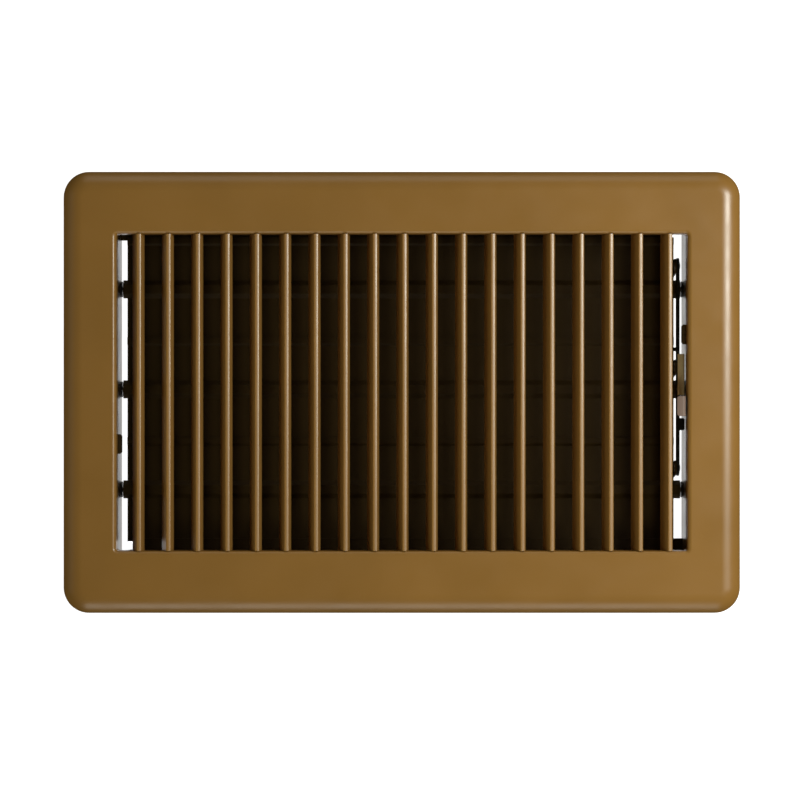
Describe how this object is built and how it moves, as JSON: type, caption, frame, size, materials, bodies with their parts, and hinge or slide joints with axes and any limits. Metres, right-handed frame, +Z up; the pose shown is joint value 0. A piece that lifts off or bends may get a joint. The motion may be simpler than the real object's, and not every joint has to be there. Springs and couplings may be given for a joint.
{
  "type": "floor register",
  "caption": "Drop-in floor air register: pressed steel faceplate with folded louvres over a multi-blade damper box worked by a thumb lever in the end slot.",
  "frame": {"origin": "centre of the duct opening, in the plane of the floor's surface, which the faceplate's rim rests on", "axes": "+X along the long side, towards the thumb lever; +Y across the blades, towards the back blade; +Z up out of the floor"},
  "size_m": [0.2922, 0.1906, 0.0363],
  "materials": {
    "brown_enamel": "satin baked enamel",
    "dark_enamel": "satin baked enamel",
    "black_enamel": "satin black",
    "lever_enamel": "satin baked enamel, greyer than the faceplate's",
    "zinc_steel": "zinc plated",
    "brass": "spring brass",
    "nylon": "black nylon"
  },
  "bodies": {
    "register": {"faceplate": "brown_enamel", "louvre_01": "brown_enamel", "louvre_02": "brown_enamel", "louvre_03": "brown_enamel", "louvre_04": "brown_enamel", "louvre_05": "brown_enamel", "louvre_06": "brown_enamel", "louvre_07": "brown_enamel", "louvre_08": "brown_enamel", "louvre_09": "brown_enamel", "louvre_10": "brown_enamel", "louvre_11": "brown_enamel", "louvre_12": "brown_enamel", "louvre_13": "brown_enamel", "louvre_14": "brown_enamel", "louvre_15": "brown_enamel", "louvre_16": "brown_enamel", "louvre_17": "brown_enamel", "louvre_18": "brown_enamel", "louvre_19": "brown_enamel", "back_side_rail": "dark_enamel", "front_side_rail": "dark_enamel", "left_end_plate": "dark_enamel", "right_end_plate": "dark_enamel", "corner_rivets": "zinc_steel", "left_pivot_bushes": "nylon", "right_pivot_bushes": "nylon"},
    "back_blade": {"back_blade": "dark_enamel", "back_blade_pins": "zinc_steel"},
    "middle_blade": {"middle_blade": "dark_enamel", "middle_blade_pins": "zinc_steel"},
    "front_blade": {"front_blade": "dark_enamel", "front_blade_pins": "zinc_steel"},
    "link": {"link_bar": "black_enamel", "crank_rivets": "zinc_steel", "thumb_lever": "lever_enamel", "lever_rivets": "zinc_steel", "friction_clip": "brass", "clip_rivet": "zinc_steel"}
  },
  "joints": [
    {"name": "middle_blade_turn", "type": "hinge", "parent": "register", "child": "middle_blade", "pos_m": [0, 0.0014, -0.027], "axis": [1, 0, 0], "range_deg": [0, 85]},
    {"name": "back_blade_turn", "type": "hinge", "parent": "register", "child": "back_blade", "pos_m": [0, 0.0456, -0.027], "axis": [1, 0, 0], "range_deg": [0, 85]},
    {"name": "front_blade_turn", "type": "hinge", "parent": "register", "child": "front_blade", "pos_m": [0, -0.0428, -0.027], "axis": [1, 0, 0], "range_deg": [0, 85]},
    {"name": "link_swing", "type": "hinge", "parent": "middle_blade", "child": "link", "pos_m": [0.12, 0.0112, -0.0163], "axis": [1, 0, 0], "range_deg": [-85, 0]}
  ],
  "couplings": [
    {"joint": "back_blade_turn", "follows": "middle_blade_turn", "ratio": 1},
    {"joint": "front_blade_turn", "follows": "middle_blade_turn", "ratio": 1},
    {"joint": "link_swing", "follows": "middle_blade_turn", "ratio": -1}
  ]
}
